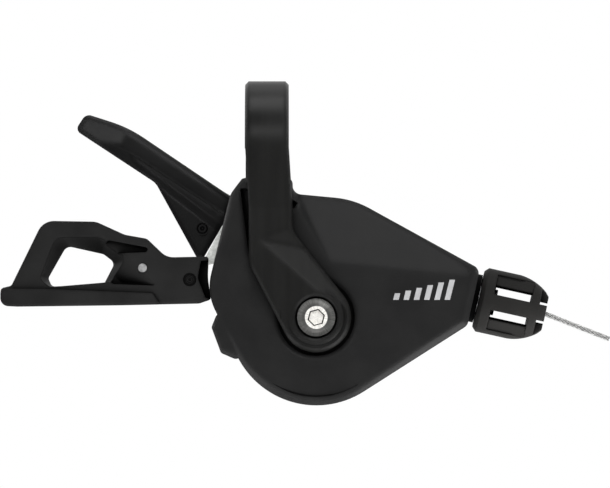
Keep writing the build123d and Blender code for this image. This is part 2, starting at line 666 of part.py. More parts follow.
def main_pad_profile():
    return outline(
        (-55.9, 43.2, 1.4), (-53.4, 47.0, 1.8), (-43.5, 43.8, 30.0), (-18.6, 27.0, 1.4), (-21.8, 20.9, 1.4),
        (-26.9, 12.2, 0.8), (-37.2, 30.9, 4.0),
    )


def main_rim_profile():
    return outline(
        (-55.9, 43.2, 1.4), (-53.4, 47.0, 1.8), (-43.5, 43.8, 30.0), (-18.6, 27.0, 1.4), (-20.6, 22.8, 1.4),
        (-43.8, 38.0, 26.0), (-52.6, 41.4, 1.4),
    )


def main_lever_pad():
    pad = slab(main_rim_profile(), MAIN_PAD_FRONT, MAIN_PAD_BACK)
    pad = fillet(pad.edges().filter_by(Axis.Y, reverse=True), MAIN_PAD_EDGE)
    pad += slab(main_pad_profile(), MAIN_WEB_FRONT, MAIN_WEB_BACK)
    pad -= leaning_cut((-47.0, 36.5), (-42.9, 44.6), MAIN_TIP_TILT, MAIN_PAD_FRONT)
    slot = offset(main_plate_profile(), SLOT_GAP)
    return pad - slab(slot, MAIN_PLATE_FRONT - SLOT_GAP, MAIN_PLATE_FRONT + LEVER_PLATE + SLOT_GAP)


def release_plate_profile():
    hub = Circle(LEVER_HUB_RADIUS)
    arm = outline(
        (-3.0, 7.0, 0.5), (-19.0, 22.6, 1.5), (-21.6, 21.0, 1.0), (-25.6, 13.4, 1.0), (-42.0, 12.4, 1.0),
        (-42.0, 6.4, 1.0), (-28.0, 6.4, 1.0), (-25.8, 11.8, 1.5), (-22.6, 12.4, 1.5), (-6.0, -3.0, 0.5),
    )
    return hub + arm


def release_lever_plate():
    shape = release_plate_profile() - Circle(AXLE_RADIUS + RUNNING_GAP)
    shape -= Pos(*release_pin_at()) * Circle(PIN_RADIUS)
    return slab(shape, RELEASE_PLATE_FRONT, RELEASE_PLATE_FRONT + LEVER_PLATE)


def release_pad_profile():
    return outline(
        (-72.4, 6.6, 1.0), (-69.9, 7.2, 1.0), (-62.6, 22.1, 4.0), (-50.6, 21.9, 4.0), (-44.0, 18.9, 4.0),
        (-38.9, 18.0, 2.0), (-34.4, 13.7, 4.0), (-24.7, 13.9, 0.6), (-24.9, 9.0, 12.0), (-24.2, 4.0, 0.6),
        (-26.8, 3.1, 2.0), (-45.0, 2.7, 0.0), (-68.5, 2.4, 2.0), (-72.4, 2.6, 2.6),
    )


def window_mouth():
    """The front of the finger window, where it is widest."""
    return outline(
        (-59.9, 18.3, 2.6), (-49.4, 18.4, 3.0), (-43.4, 13.8, 2.4), (-45.6, 8.2, 2.4), (-61.0, 6.9, 1.6),
        (-63.4, 8.7, 1.4),
    )


def window_throat():
    """The back of the finger window."""
    return outline(
        (-57.4, 16.3, 1.8), (-48.9, 14.4, 1.6), (-46.3, 12.4, 1.4), (-48.9, 7.4, 1.4), (-60.8, 7.0, 1.0),
        (-61.6, 8.9, 1.0),
    )


def release_flange_profile():
    """The rounded bar along the foot of the paddle that the finger pulls."""
    return outline(
        (-72.4, 6.6, 1.2), (-62.0, 6.6, 1.0), (-37.4, 5.6, 0.4), (-35.6, 2.9, 0.4), (-45.0, 2.7, 0.0),
        (-68.5, 2.4, 2.0), (-72.4, 2.6, 1.9),
    )


def release_lever_pad():
    pad = slab(release_pad_profile(), RELEASE_PAD_FRONT, RELEASE_FRAME_BACK)
    front = pad.faces().sort_by(Axis.Y)[0].edges()
    pad = fillet(front, RELEASE_EDGE)
    flange = slab(release_flange_profile(), RELEASE_FLANGE_FRONT, RELEASE_PAD_BACK)
    flange_edges = [e for e in flange.edges() if abs(e.tangent_at(0.5).Y) < 0.5]
    pad += fillet(flange_edges, RELEASE_EDGE)
    throat = Plane.XZ.offset(-RELEASE_FRAME_BACK) * window_throat()
    mouth = Plane.XZ.offset(-RELEASE_PAD_FRONT) * window_mouth()
    pad -= loft([mouth, throat])
    pad -= slab(window_throat(), RELEASE_FRAME_BACK - 1, RELEASE_PAD_BACK + 1)
    # Beside the window the front slopes back from the slanting end of the arm, under a small pocket.
    scoop = outline((-49.6, 17.4, 1.0), (-44.4, 16.4, 1.0), (-36.2, 7.2, 0.6), (-47.0, 7.6, 1.0))
    scoop_block = slab(scoop, RELEASE_PAD_FRONT - 1, RELEASE_PAD_FRONT + RELEASE_SCOOP_DEPTH)
    pad -= scoop_block & leaning_cut((-36.0, 6.6), (-43.6, 14.4), RELEASE_SCOOP_TILT, RELEASE_PAD_FRONT)
    pocket = outline((-49.4, 18.0, 0.8), (-38.4, 15.9, 0.5), (-38.9, 14.9, 0.5), (-46.6, 14.6, 0.8))
    pad -= slab(pocket, RELEASE_PAD_FRONT - 1, RELEASE_PAD_FRONT + RELEASE_POCKET_DEPTH)
    # The inner end is an open socket round the steel plate.
    socket = outline(
        (-26.4, 13.0, 0.4), (-22.0, 13.0, 0), (-22.0, 3.6, 0), (-25.4, 4.4, 0.4), (-27.2, 9.0, 3.0),
    )
    pad -= slab(socket, RELEASE_PAD_FRONT - 1, RELEASE_PLATE_FRONT - 0.6)
    pad -= disc(PIN_RADIUS, RELEASE_PAD_FRONT - 1, RELEASE_PAD_BACK + 1, release_pin_at())
    slot = offset(release_plate_profile(), SLOT_GAP)
    return pad - slab(slot, RELEASE_PLATE_FRONT - SLOT_GAP, RELEASE_PLATE_FRONT + LEVER_PLATE + SLOT_GAP)


def release_pin_at():
    return (-39.8, 11.3)


def release_pin():
    """The bright pin that ties the paddle to its steel plate."""
    return disc(PIN_RADIUS, RELEASE_PAD_FRONT - 0.1, RELEASE_FRAME_BACK, release_pin_at())


def adjuster_barrel():
    barrel = cable_rod(THREAD_RADIUS, OUTLET_BOSS_START + 1, KNOB_START + 4.0)
    barrel += cable_rod(RIB_HALF - 0.25, KNOB_START + 4.0, KNOB_START + KNOB_LENGTH - 3.0)
    return barrel - cable_rod(BARREL_BORE, OUTLET_BOSS_START, KNOB_START + KNOB_LENGTH)


def adjuster_collar():
    collar = cable_rod(5.6, OUTLET_END, KNOB_START - 0.2)
    return collar - cable_rod(THREAD_RADIUS + RUNNING_GAP, OUTLET_END - 1, KNOB_START + 1)


def adjuster_knob():
    """A barrel-shaped grip on four ribs, open between them down to its bore."""
    nose = KNOB_LENGTH
    window = KNOB_LENGTH - KNOB_WINDOW_START - KNOB_RING - PRONG_DEPTH
    window_high = KNOB_RADIUS - KNOB_RAIL - RIB_HALF
    profile = make_face(
        [
            Polyline((0, 0), (6.6, 0), (KNOB_RADIUS, 0.9), (KNOB_RADIUS, 8.3)),
            ThreePointArc(
                (KNOB_RADIUS, 8.3), (KNOB_RADIUS - 0.75, nose - 4.0), (KNOB_NOSE_RADIUS, nose - 0.8)
            ),
            Polyline((KNOB_NOSE_RADIUS, nose - 0.8), (KNOB_NOSE_RADIUS - 0.9, nose), (0, nose), (0, 0)),
        ]
    )
    knob = revolve(Plane.XZ * profile, Axis.Z)
    knob -= extrude(Circle(THREAD_RADIUS + 0.02), amount=4.0)
    knob -= Pos(0, 0, KNOB_CAVITY_START) * extrude(Circle(KNOB_BORE), amount=nose)
    cavity = KNOB_WINDOW_START + window - KNOB_CAVITY_START
    knob -= Pos(0, 0, KNOB_CAVITY_START) * extrude(Circle(KNOB_CAVITY), amount=cavity)
    for across in (-1, 1):
        for deep in (-1, 1):
            side = Pos(across * (RIB_HALF + 10), deep * (RIB_HALF + window_high / 2), 0)
            knob -= side * Pos(0, 0, KNOB_WINDOW_START + window / 2) * Box(20, window_high, window)
            corner = Pos(across * (RIB_HALF + 10), deep * (RIB_HALF + 10), nose)
            knob -= corner * Box(20, 20, 2 * PRONG_DEPTH)
    return cable_plane(KNOB_START).location * knob


def inner_cable():
    """The gear wire: round the drum, straight out through the adjuster, and a stub that droops."""
    start = polar(CABLE_CIRCLE, TANGENT_ANGLE + CABLE_WRAP)
    middle = polar(CABLE_CIRCLE, TANGENT_ANGLE + CABLE_WRAP / 2)
    tangent = on_cable(0)
    bend_start = KNOB_START + KNOB_LENGTH - 2.0
    bend = on_cable(bend_start + 2.0)
    drop = polar(CABLE_STUB, -CABLE_FALL - STUB_BEND)
    stub = (bend[0] + drop[0], bend[1] + drop[1])
    path = [
        ThreePointArc(start, middle, tangent),
        FilletPolyline(tangent, bend, stub, radius=20.0),
    ]
    wire = Wire([e for piece in path for e in piece.edges()])
    wire = Plane.XZ.offset(-CABLE_LEVEL) * wire
    section = Plane(origin=wire @ 0, z_dir=wire % 0) * Circle(CABLE_RADIUS)
    return sweep(section, path=wire)


def build():
    keep("clamp_band", clamp_band())
    keep("clamp_bolt", clamp_bolt())
    keep("band_screw", band_screw())
    keep("top_cover", top_cover())
    keep("base_bracket", base_bracket())
    keep("rear_cover", rear_cover())
    keep("cover_screws", cover_screws())
    keep("main_axle", main_axle())
    keep("axle_nut", axle_nut())
    keep("front_plate", front_plate())
    keep("rear_plate", rear_plate())
    keep("plate_posts", plate_posts())
    keep("holding_pin", holding_pin())
    keep("release_spacer", release_spacer())
    keep("adjuster_collar", adjuster_collar())
    keep("inner_cable", inner_cable())
    keep("drum_spring", drum_spring())
    keep("main_lever_spring", main_lever_spring())
    keep("release_lever_spring", release_lever_spring())
    keep("index_ratchet", index_ratchet())
    keep("winding_ratchet", winding_ratchet())
    keep("cable_drum", cable_drum())
    keep("cable_nipple", cable_nipple())
    keep("lever_spacer", lever_spacer())
    keep("holding_pawl", holding_pawl())
    keep("winding_pawl", winding_pawl())
    keep("winding_pin", winding_pin())
    keep("main_lever_plate", main_lever_plate())
    keep("main_lever_pad", main_lever_pad())
    keep("release_lever_plate", release_lever_plate())
    keep("release_lever_pad", release_lever_pad())
    keep("release_pin", release_pin())
    keep("holding_pawl_spring", holding_pawl_spring())
    keep("winding_pawl_spring", winding_pawl_spring())
    keep("adjuster_barrel", adjuster_barrel())
    keep("adjuster_knob", adjuster_knob())


def write():
    os.makedirs("parts", exist_ok=True)
    to_row_frame = Pos(AXLE_X, 0, -AXLE_DROP)
    for name, shape in PIECES.items():
        export_step(to_row_frame * shape, f"parts/{name}.step")


build()
write()
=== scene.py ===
import bpy
import bmesh
import math
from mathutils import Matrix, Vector


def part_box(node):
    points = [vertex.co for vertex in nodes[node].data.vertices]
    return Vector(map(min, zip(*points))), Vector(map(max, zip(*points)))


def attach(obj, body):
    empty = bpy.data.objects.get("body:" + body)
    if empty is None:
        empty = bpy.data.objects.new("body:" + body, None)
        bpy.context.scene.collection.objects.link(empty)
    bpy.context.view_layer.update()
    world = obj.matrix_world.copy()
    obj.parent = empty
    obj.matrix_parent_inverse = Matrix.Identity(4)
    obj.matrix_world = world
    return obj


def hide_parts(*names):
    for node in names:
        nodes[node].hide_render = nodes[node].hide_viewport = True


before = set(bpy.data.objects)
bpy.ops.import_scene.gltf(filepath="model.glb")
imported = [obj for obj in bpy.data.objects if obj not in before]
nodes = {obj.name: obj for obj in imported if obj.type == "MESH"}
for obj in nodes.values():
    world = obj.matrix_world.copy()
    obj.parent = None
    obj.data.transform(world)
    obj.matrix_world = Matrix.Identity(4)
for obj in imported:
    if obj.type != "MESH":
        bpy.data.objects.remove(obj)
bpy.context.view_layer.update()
print("frame loaded:", len(nodes), "nodes")

mm = 0.001

# the axle runs along Y through the middle of the clamp bolt
boltLow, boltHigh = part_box("clamp_bolt")
axleX = (boltLow.x + boltHigh.x) / 2
axleZ = (boltLow.z + boltHigh.z) / 2
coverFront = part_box("top_cover")[0].y
boltFront = boltLow.y


def fromAxle(u, w, y):
    return Vector((axleX + u * mm, y, axleZ + w * mm))


# finishes

def newMaterial(name):
    mat = bpy.data.materials.new(name)
    mat.use_nodes = True
    tree = mat.node_tree
    shader = tree.nodes["Principled BSDF"]
    return mat, tree, shader


def grey(level):
    return (level, level, level)


def addNode(tree, kind, **sockets):
    node = tree.nodes.new(kind)
    for socket, value in sockets.items():
        node.inputs[socket].default_value = value
    return node


def grainOf(tree, scale, detail, stretch=(1, 1, 1)):
    coords = tree.nodes.new("ShaderNodeTexCoord")
    mapping = addNode(tree, "ShaderNodeMapping", Scale=stretch)
    noise = addNode(tree, "ShaderNodeTexNoise", Scale=scale, Detail=detail)
    tree.links.new(coords.outputs["Object"], mapping.inputs["Vector"])
    tree.links.new(mapping.outputs["Vector"], noise.inputs["Vector"])
    return noise.outputs["Fac"]


def rampOf(tree, value, stops):
    ramp = tree.nodes.new("ShaderNodeValToRGB")
    while len(ramp.color_ramp.elements) < len(stops):
        ramp.color_ramp.elements.new(0.5)
    for element, (at, colour) in zip(ramp.color_ramp.elements, stops):
        element.position = at
        element.color = (*colour, 1.0)
    tree.links.new(value, ramp.inputs["Fac"])
    return ramp.outputs["Color"]


def spreadOf(tree, value, low, high):
    spread = addNode(tree, "ShaderNodeMapRange", **{"To Min": low, "To Max": high})
    tree.links.new(value, spread.inputs["Value"])
    return spread.outputs["Result"]


def productOf(tree, tone, by, share=1.0):
    mix = tree.nodes.new("ShaderNodeMix")
    mix.data_type = "RGBA"
    mix.blend_type = "MULTIPLY"
    mix.inputs["Factor"].default_value = share
    tree.links.new(tone, mix.inputs["A"])
    tree.links.new(by, mix.inputs["B"])
    return mix.outputs["Result"]


raySamples = {"edge": 6, "paintedShade": 8}


def bumpOf(tree, height, strength, depth, softEdge=0.0):
    bump = addNode(tree, "ShaderNodeBump", Strength=strength, Distance=depth)
    tree.links.new(height, bump.inputs["Height"])
    if softEdge:
        # a moulded edge is never quite sharp
        edge = addNode(tree, "ShaderNodeBevel", Radius=softEdge)
        edge.samples = raySamples["edge"]
        tree.links.new(edge.outputs["Normal"], bump.inputs["Normal"])
    return bump.outputs["Normal"]


def paintedShadeOf(tree, tone, s):
    # painted shade: ambient occlusion darkens the base colour, so deep folds and gaps, and where alone is off
    # also the spots beside other parts, are painted blacker than the open faces
    closed = addNode(tree, "ShaderNodeAmbientOcclusion", Distance=s["reach"] * mm)
    closed.samples = raySamples["paintedShade"]
    closed.only_local = s["alone"]
    share = rampOf(tree, closed.outputs["AO"], [(s["from"], grey(s["deepest"])), (s["to"], grey(1))])
    return productOf(tree, tone, share)


# what the pieces of one kind share: grain, where it turns pale, and how far it moves the roughness
finishKinds = {
    "moulded": {
        "cloud": 110.0, "detail": 4.0, "sparkDetail": 2.0, "stops": (0.30, 0.72), "spread": (-0.05, 0.06),
        "depth": 0.06,
    },
    "plated": {"detail": 5.0, "stops": (0.32, 0.70), "spread": (-0.07, 0.09), "bump": 0.08, "depth": 0.03},
    "plain": {
        "cloud": 220.0, "detail": 4.0, "stops": (0.30, 0.70), "spread": (-0.05, 0.05), "bump": 0.05,
        "depth": 0.05,
    },
}


def toneOf(tree, grain, s, kind):
    dark, pale = kind["stops"]
    return rampOf(tree, grain, [(dark, s["dark"]), (pale, s["pale"])])


def roughOf(tree, grain, rough, spread):
    less, more = spread
    return spreadOf(tree, grain, rough + less, rough + more)


def mouldedBlack(name, s, kind):
    mat, tree, shader = newMaterial(name)
    spark = grainOf(tree, s["grain"], kind["sparkDetail"])
    cloud = grainOf(tree, kind["cloud"], kind["detail"], s.get("stretch", (1, 1, 1)))
    tone = toneOf(tree, cloud, s, kind)
    # painted shade in folds and gaps
    if "paintedShade" in s:
        tone = paintedShadeOf(tree, tone, s["paintedShade"])
    normal = bumpOf(tree, spark, s["bump"], kind["depth"] * mm, s["edge"] * mm)
    tree.links.new(tone, shader.inputs["Base Color"])
    tree.links.new(roughOf(tree, cloud, s["rough"], kind["spread"]), shader.inputs["Roughness"])
    tree.links.new(normal, shader.inputs["Normal"])
    shader.inputs["Specular IOR Level"].default_value = s["gloss"]
    return mat


def platedSteel(name, s, kind):
    mat, tree, shader = newMaterial(name)
    streak = grainOf(tree, s["grain"], kind["detail"])
    normal = bumpOf(tree, streak, kind["bump"], kind["depth"] * mm)
    tree.links.new(toneOf(tree, streak, s, kind), shader.inputs["Base Color"])
    tree.links.new(roughOf(tree, streak, s["rough"], kind["spread"]), shader.inputs["Roughness"])
    tree.links.new(normal, shader.inputs["Normal"])
    shader.inputs["Metallic"].default_value = 1.0
    return mat


def plainMoulding(name, s, kind):
    mat, tree, shader = newMaterial(name)
    cloud = grainOf(tree, kind["cloud"], kind["detail"])
    normal = bumpOf(tree, cloud, kind["bump"], kind["depth"] * mm)
    tree.links.new(toneOf(tree, cloud, s, kind), shader.inputs["Base Color"])
    tree.links.new(roughOf(tree, cloud, s["rough"], kind["spread"]), shader.inputs["Roughness"])
    tree.links.new(normal, shader.inputs["Normal"])
    return mat


boltLook = {
    "bossRadius": 2.62,
    "headRadius": 4.4,
    "boss": (0.74, 0.725, 0.69),
    # painted shade at the boss's edge and in the hexagon's lead-in
    "paintedLeadShade": (0.05, 0.05, 0.05),
    "flange": (0.070, 0.069, 0.065),
    # painted highlight towards the flange's rim
    "flangeRimHighlight": (0.25, 0.25, 0.24),
    "flangeMetal": 0.5,
    "bossEnd": -0.02,  # these four from the boss's edge, in shares of the head's radius
    "leadStart": 0.01,
    "flangeStart": 0.12,
    "metalEnd": 0.05,
    "rimStart": 0.97,  # from the axle, in the same shares
    "insideEnd": -0.03,
    "leadDepth": (0.02, 0.36),  # behind the boss's face
    "leadFade": (0.01, 0.05),
    "depthRange": 2.0,
    "rough": 0.30,
    "spread": (-0.08, 0.10),
    "scoreScale": 24.0,
    "scoreDetail": 5.0,
    "scoreStops": (0.34, 0.62),
    "scoreTones": (0.40, 1.35),
    "scoreShare": 0.8,
    "scoreBump": 0.1,
    "scoreDepth": 0.03,
}


def boltSteel(name, s):
    # the flange is grey and finely scored, the boss and the socket's floor are bright; the boss's edge and
    # the hexagon's lead-in are painted dark as shade, and the flange lightens to a painted highlight at its
    # rim
    mat, tree, shader = newMaterial(name)
    coords = tree.nodes.new("ShaderNodeTexCoord")
    centred = addNode(tree, "ShaderNodeMapping", Location=(-axleX, -boltFront, -axleZ))
    tree.links.new(coords.outputs["Object"], centred.inputs["Vector"])
    parts = tree.nodes.new("ShaderNodeSeparateXYZ")
    tree.links.new(centred.outputs["Vector"], parts.inputs["Vector"])
    flat = tree.nodes.new("ShaderNodeCombineXYZ")
    tree.links.new(parts.outputs["X"], flat.inputs["X"])
    tree.links.new(parts.outputs["Z"], flat.inputs["Z"])
    reach = tree.nodes.new("ShaderNodeVectorMath")
    reach.operation = "LENGTH"
    tree.links.new(flat.outputs["Vector"], reach.inputs[0])
    share = addNode(tree, "ShaderNodeMapRange", **{"From Max": s["headRadius"] * mm})
    tree.links.new(reach.outputs["Value"], share.inputs["Value"])
    step = s["bossRadius"] / s["headRadius"]
    tone = rampOf(tree, share.outputs["Result"], [
        (0.0, s["boss"]), (step + s["bossEnd"], s["boss"]), (step + s["leadStart"], s["paintedLeadShade"]),
        (step + s["flangeStart"], s["flange"]), (s["rimStart"], s["flangeRimHighlight"]),
    ])
    # the lead-in of the hexagon lies just behind the boss's face, and is painted dark there as its shade
    depth = addNode(tree, "ShaderNodeMapRange", **{"From Max": s["depthRange"] * mm})
    tree.links.new(parts.outputs["Y"], depth.inputs["Value"])
    low, high = (d / s["depthRange"] for d in s["leadDepth"])
    fadeIn, fadeOut = s["leadFade"]
    leadInShade = rampOf(tree, depth.outputs["Result"], [
        (0.0, grey(0)), (low, grey(0)), (low + fadeIn, grey(1)), (high, grey(1)), (high + fadeOut, grey(0)),
    ])
    inside = rampOf(tree, share.outputs["Result"], [
        (0.0, grey(1)), (step + s["insideEnd"], grey(1)), (step, grey(0)),
    ])
    where = tree.nodes.new("ShaderNodeMath")
    where.operation = "MULTIPLY"
    tree.links.new(leadInShade, where.inputs[0])
    tree.links.new(inside, where.inputs[1])
    mix = tree.nodes.new("ShaderNodeMix")
    mix.data_type = "RGBA"
    tree.links.new(where.outputs["Value"], mix.inputs["Factor"])
    tree.links.new(tone, mix.inputs["A"])
    mix.inputs["B"].default_value = (*s["paintedLeadShade"], 1.0)
    # scores run outwards: noise on the direction from the axle, not on the distance
    way = tree.nodes.new("ShaderNodeVectorMath")
    way.operation = "NORMALIZE"
    tree.links.new(flat.outputs["Vector"], way.inputs[0])
    scores = addNode(tree, "ShaderNodeTexNoise", Scale=s["scoreScale"], Detail=s["scoreDetail"])
    tree.links.new(way.outputs["Vector"], scores.inputs["Vector"])
    stops = [(at, grey(level)) for at, level in zip(s["scoreStops"], s["scoreTones"])]
    scored = rampOf(tree, scores.outputs["Fac"], stops)
    scoredAndShaded = productOf(tree, mix.outputs["Result"], scored, s["scoreShare"])
    rough = roughOf(tree, scores.outputs["Fac"], s["rough"], s["spread"])
    normal = bumpOf(tree, scores.outputs["Fac"], s["scoreBump"], s["scoreDepth"] * mm)
    shine = rampOf(tree, share.outputs["Result"], [
        (step, grey(1)), (step + s["metalEnd"], grey(s["flangeMetal"])),
    ])
    tree.links.new(scoredAndShaded, shader.inputs["Base Color"])
    tree.links.new(rough, shader.inputs["Roughness"])
    tree.links.new(normal, shader.inputs["Normal"])
    tree.links.new(shine, shader.inputs["Metallic"])
    return mat


# edge is the radius of soft edges, and the other entry sets painted shade: how black folds and gaps are
# painted within its reach, both in mm
blacks = {
    "coverBlack": {
        "dark": (0.0062, 0.0062, 0.0063), "pale": (0.0092, 0.0092, 0.0092), "rough": 0.32,
        "grain": 3400.0, "bump": 0.16, "gloss": 0.08, "edge": 2.0,
        "paintedShade": {"alone": False, "reach": 5.0, "deepest": 0.05, "from": 0.40, "to": 0.85},
    },
    "bandBlack": {
        "dark": (0.0024, 0.0024, 0.0022), "pale": (0.0056, 0.0056, 0.0053), "rough": 0.34,
        "grain": 4200.0, "bump": 0.08, "gloss": 0.10, "edge": 1.8,
        "stretch": (3.2, 0.3, 0.3),  # drawn out along the band
    },
    "baseBlack": {
        "dark": (0.0066, 0.0066, 0.0066), "pale": (0.0096, 0.0096, 0.0095), "rough": 0.40,
        "grain": 3400.0, "bump": 0.14, "gloss": 0.04, "edge": 0.5,
    },
    "leverBlack": {
        "dark": (0.0038, 0.0038, 0.0039), "pale": (0.0066, 0.0066, 0.0066), "rough": 0.24,
        "grain": 4600.0, "bump": 0.14, "gloss": 0.09, "edge": 2.0,
    },
    "paddleBlack": {
        "dark": (0.0100, 0.0100, 0.0100), "pale": (0.0152, 0.0152, 0.0151), "rough": 0.40,
        "grain": 4600.0, "bump": 0.14, "gloss": 0.012, "edge": 0.9,
        "paintedShade": {"alone": True, "reach": 16.0, "deepest": 0.04, "from": 0.52, "to": 0.96},
    },
    # near-black, painting the shade in the marks' and the seam's grooves
    "markShadeBlack": {
        "dark": (0.0006, 0.0006, 0.0006), "pale": (0.0012, 0.0012, 0.0012), "rough": 0.5,
        "grain": 4600.0, "bump": 0.05, "gloss": 0.02, "edge": 0.0,
    },
    "knobBlack": {
        "dark": (0.0130, 0.0127, 0.0122), "pale": (0.0175, 0.0171, 0.0165), "rough": 0.50,
        "grain": 4600.0, "bump": 0.08, "gloss": 0.02, "edge": 0.6,
        "paintedShade": {"alone": True, "reach": 6.0, "deepest": 0.15, "from": 0.35, "to": 0.95},
    },
    # darker than the other blacks, to paint the shade of the gap between cover and knob where the collar sits
    "collarBlack": {
        "dark": (0.0020, 0.0020, 0.0021), "pale": (0.0034, 0.0034, 0.0035), "rough": 0.55,
        "grain": 4600.0, "bump": 0.10, "gloss": 0.01, "edge": 0.12,
        "paintedShade": {"alone": False, "reach": 6.0, "deepest": 0.05, "from": 0.30, "to": 0.85},
    },
}
steels = {
    "screwBright": {"dark": (0.50, 0.51, 0.52), "pale": (0.76, 0.77, 0.77), "rough": 0.26, "grain": 700.0},
    "pinWorn": {"dark": (0.08, 0.08, 0.08), "pale": (0.36, 0.36, 0.36), "rough": 0.36, "grain": 600.0},
    "zincPlate": {"dark": (0.36, 0.37, 0.355), "pale": (0.56, 0.57, 0.55), "rough": 0.34, "grain": 1600.0},
    "oiledSteel": {"dark": (0.10, 0.10, 0.11), "pale": (0.22, 0.22, 0.23), "rough": 0.32, "grain": 800.0},
    "springWire": {"dark": (0.30, 0.30, 0.31), "pale": (0.52, 0.52, 0.52), "rough": 0.28, "grain": 1200.0},
    "gearWire": {"dark": (0.09, 0.09, 0.09), "pale": (0.36, 0.36, 0.355), "rough": 0.30, "grain": 2400.0},
    "barrelTurned": {"dark": (0.20, 0.20, 0.21), "pale": (0.38, 0.38, 0.39), "rough": 0.34, "grain": 1500.0},
}
mouldings = {
    "acetalWhite": {"dark": (0.62, 0.61, 0.58), "pale": (0.74, 0.73, 0.70), "rough": 0.42},
    "silverInk": {"dark": (0.24, 0.24, 0.245), "pale": (0.32, 0.32, 0.325), "rough": 0.44},
}

finishes = {name: mouldedBlack(name, s, finishKinds["moulded"]) for name, s in blacks.items()}
finishes.update({name: platedSteel(name, s, finishKinds["plated"]) for name, s in steels.items()})
finishes.update({name: plainMoulding(name, s, finishKinds["plain"]) for name, s in mouldings.items()})
finishes["boltSteel"] = boltSteel("boltSteel", boltLook)

finishOf = {
    "coverBlack": ("top_cover", "rear_cover"),
    "bandBlack": ("clamp_band",),
    "baseBlack": ("base_bracket",),
    "leverBlack": ("main_lever_pad",),
    "paddleBlack": ("release_lever_pad",),
    "knobBlack": ("adjuster_knob",),
    "collarBlack": ("adjuster_collar",),
    "boltSteel": ("clamp_bolt",),
    "screwBright": (
        "band_screw", "cover_screws", "main_axle", "axle_nut", "plate_posts", "holding_pin",
        "cable_nipple", "winding_pin",
    ),
    "pinWorn": ("release_pin",),
    "zincPlate": ("front_plate", "rear_plate", "main_lever_plate", "release_lever_plate"),
    "oiledSteel": ("index_ratchet", "winding_ratchet", "winding_pawl", "holding_pawl"),
    "springWire": (
        "drum_spring", "main_lever_spring", "release_lever_spring", "holding_pawl_spring",
        "winding_pawl_spring",
    ),
    "gearWire": ("inner_cable",),
    "barrelTurned": ("adjuster_barrel",),
    "acetalWhite": ("cable_drum", "lever_spacer", "release_spacer"),
}

for finish, names in finishOf.items():
    for name in names:
        mesh = nodes[name].data
        mesh.materials.clear()
        mesh.materials.append(finishes[finish])
print("finishes on", sum(len(names) for names in finishOf.values()), "nodes")


# added pieces

def meshPiece(name, bm, finish, body, smooth=True):
    bmesh.ops.recalc_face_normals(bm, faces=bm.faces)
    mesh = bpy.data.meshes.new(name)
    bm.to_mesh(mesh)
    bm.free()
    for face in mesh.polygons:
        face.use_smooth = smooth
    mesh.materials.append(finishes[finish])
    piece = bpy.data.objects.new(name, mesh)
    bpy.context.scene.collection.objects.link(piece)
    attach(piece, body)
    return piece


def addTube(bm, path, radiusAt, sides, closed=False):
    # path is a list of (centre, side, up), and side and up span the tube's section
    rings = []
    for k, (centre, side, up) in enumerate(path):
        radius = radiusAt(k / (len(path) - 1))
        turns = [2 * math.pi * i / sides for i in range(sides)]
        rings.append([bm.verts.new(centre + radius * (side * math.cos(t) + up * math.sin(t))) for t in turns])
    pairs = list(zip(rings, rings[1:])) + ([(rings[-1], rings[0])] if closed else [])
    for a, b in pairs:
        for i in range(sides):
            j = (i + 1) % sides
            bm.faces.new((a[i], a[j], b[j], b[i]))
    if not closed:
        bm.faces.new(rings[0])
        bm.faces.new(rings[-1])


# gear wire: a core along the whole way, and strands laid round it where it shows
wireSetup = {
    "fall": 12.5,  # degrees below level, out of the housing
    "circle": 12.1,  # radius of its turn on the drum
    "level": 5.5,  # along the axle
    "wrap": 52.0,  # degrees on the drum
    "run": 51.4,  # from the drum to the bend at the knob's nose
    "bend": 9.0,
    "bendRadius": 20.0,
    "stub": 16.0,
    "radius": 0.6,
    "strands": 7,
    "strandRadius": 0.2,
    "lay": 11.0,  # length of one turn
    "strandLength": 20.0,
    "strandStep": 0.3,
    "strandSides": 6,
    "coreStep": 1.2,
    "coreSides": 12,
    "coreShort": 0.15,  # the strands end past the core
    "sides": 16,
}


def wireBend(s):
    # how far before its corner the bend starts, and its length
    bend = math.radians(s["bend"])
    return s["bendRadius"] * math.tan(bend / 2), s["bendRadius"] * bend


def wireStations(s, start, end, step):
    # places along the wire, from the drum's tangent point, with the section's two directions
    fall = math.radians(s["fall"])
    setBack, arcLength = wireBend(s)
    arcStart = s["run"] - setBack
    count = max(2, round((end - start) / step)) + 1
    stations = []
    for k in range(count):
        along = start + (end - start) * k / (count - 1)
        if along < 0:
            turn = along / s["circle"]
            heading = -fall - turn
            u = s["circle"] * math.sin(fall + turn)
            w = s["circle"] * math.cos(fall + turn)
        else:
            straight = min(along, arcStart)
            heading = -fall
            u = s["circle"] * math.sin(fall) + straight * math.cos(fall)
            w = s["circle"] * math.cos(fall) - straight * math.sin(fall)
            past = min(max(along - arcStart, 0.0), arcLength)
            turned = past / s["bendRadius"]
            u += s["bendRadius"] * (math.sin(fall + turned) - math.sin(fall))
            w += s["bendRadius"] * (math.cos(fall + turned) - math.cos(fall))
            heading -= turned
            rest = max(along - arcStart - arcLength, 0.0)
            u += rest * math.cos(heading)
            w += rest * math.sin(heading)
        up = Vector((-math.sin(heading), 0, math.cos(heading)))
        stations.append((along, fromAxle(u, w, s["level"] * mm), Vector((0, 1, 0)), up))
    return stations


